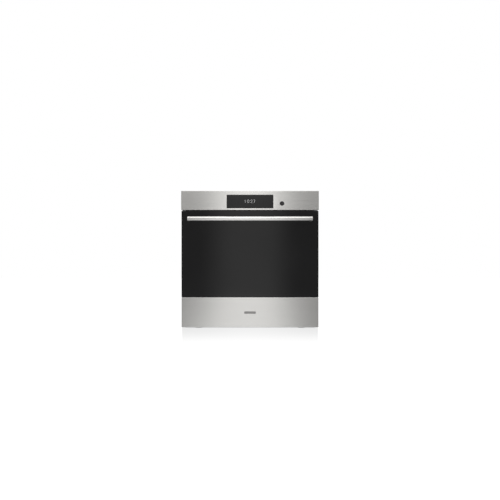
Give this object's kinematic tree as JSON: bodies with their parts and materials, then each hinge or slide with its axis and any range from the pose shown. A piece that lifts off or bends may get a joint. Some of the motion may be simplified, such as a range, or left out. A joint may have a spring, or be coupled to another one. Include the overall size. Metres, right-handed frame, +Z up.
{
  "type": "wall oven",
  "caption": "Built-in electric wall oven with a stainless control panel, drop-down glass door with a bar handle, hollow cavity with racks, heaters and fans.",
  "frame": {"origin": "centre of the overall footprint, on the shelf that the oven stands on", "axes": "-Y is the front, where the door is; +X is to the right seen from the front; +Z is up"},
  "size_m": [0.597, 0.6234, 0.597],
  "materials": {
    "brushed_stainless": "satin",
    "polished_steel": "polished",
    "black_glass": "gloss",
    "clear_glass": "gloss",
    "enamel": "gloss",
    "galvanised": "satin",
    "aluminium": "satin",
    "black_plastic": "matte",
    "gloss_black": "gloss",
    "circuit_board": "satin",
    "mineral_wool": "matte",
    "woven_seal": "matte",
    "heater_tube": "satin",
    "ceramic_block": "matte",
    "motor_steel": "satin",
    "foot_rubber": "matte",
    "lamp_glass": "gloss",
    "grey_plate": "satin"
  },
  "bodies": {
    "chassis": {"control_fascia": "brushed_stainless", "display_glass": "black_glass", "display_module": "circuit_board", "control_carrier": "black_plastic", "button_switch": "black_plastic", "control_board": "circuit_board", "hinge_arm_left": "galvanised", "hinge_arm_right": "galvanised", "front_frame": "enamel", "door_gasket": "woven_seal", "cavity_liner": "enamel", "insulation": "mineral_wool", "base_plate": "galvanised", "feet": "foot_rubber", "side_panel_left": "galvanised", "side_panel_right": "galvanised", "top_cover": "galvanised", "rear_panel": "galvanised", "motor_cover": "galvanised", "duct_plate": "galvanised", "rack_support_left": "polished_steel", "rack_support_right": "polished_steel", "broil_element": "heater_tube", "bake_element": "heater_tube", "ring_element": "heater_tube", "fan_cover": "enamel", "fan_motor": "motor_steel", "blower_housing": "galvanised", "blower_motor": "motor_steel", "oven_lamp": "ceramic_block", "lamp_lens": "lamp_glass", "temperature_sensor": "polished_steel", "terminal_box": "black_plastic", "case_screws": "galvanised"},
    "door": {"door_outer_glass": "black_glass", "door_lower_panel": "brushed_stainless", "door_nameplate": "grey_plate", "handle_bar": "brushed_stainless", "handle_bracket_left": "brushed_stainless", "handle_bracket_right": "brushed_stainless", "handle_screws": "galvanised", "door_profile_left": "aluminium", "door_profile_right": "aluminium", "door_top_cap": "black_plastic", "door_bottom_rail": "galvanised", "door_mid_glass": "clear_glass", "door_inner_glass": "clear_glass", "door_liner": "enamel", "glass_clips": "ceramic_block", "hinge_channel_left": "galvanised", "hinge_channel_right": "galvanised", "hinge_spring_left": "polished_steel", "hinge_spring_right": "polished_steel"},
    "hinge_rod_left": {"hinge_rod_left": "polished_steel"},
    "hinge_rod_right": {"hinge_rod_right": "polished_steel"},
    "rack": {"wire_rack": "polished_steel", "baking_tray": "enamel"},
    "power_button": {"power_button": "gloss_black"},
    "convection_fan": {"convection_fan": "aluminium"},
    "blower_impeller": {"blower_impeller": "aluminium"}
  },
  "joints": [
    {"name": "door_swing", "type": "hinge", "parent": "chassis", "child": "door", "pos_m": [0, -0.24675, 0.0135], "axis": [1, 0, 0], "range_deg": [0, 90], "stiffness_Nm_per_rad": 8, "springref_deg": -20.05},
    {"name": "hinge_rod_left_pull", "type": "slide", "parent": "door", "child": "hinge_rod_left", "axis": [0, 0, -1], "range_m": [0, 0.0142], "deforming": ["hinge_spring_left"]},
    {"name": "hinge_rod_right_pull", "type": "slide", "parent": "door", "child": "hinge_rod_right", "axis": [0, 0, -1], "range_m": [0, 0.0142], "deforming": ["hinge_spring_right"]},
    {"name": "rack_slide", "type": "slide", "parent": "chassis", "child": "rack", "axis": [0, -1, 0], "range_m": [0, 0.2601]},
    {"name": "power_button_press", "type": "slide", "parent": "chassis", "child": "power_button", "axis": [0, 1, 0], "range_m": [0, 0.0014], "stiffness_N_per_m": 400, "springref_m": -0.0005},
    {"name": "convection_fan_spin", "type": "hinge", "parent": "chassis", "child": "convection_fan", "pos_m": [0, 0.20025, 0.2975], "axis": [0, 1, 0], "continuous": true},
    {"name": "blower_spin", "type": "hinge", "parent": "chassis", "child": "blower_impeller", "pos_m": [0, 0.07025, 0.546], "axis": [1, 0, 0], "continuous": true}
  ],
  "couplings": [
    {"joint": "hinge_rod_left_pull", "follows": "door_swing", "m_per_rad": 0.009003},
    {"joint": "hinge_rod_right_pull", "follows": "door_swing", "m_per_rad": 0.009003},
    {"joint": "rack_slide", "follows": "door_swing", "m_per_rad": 0.16552}
  ]
}
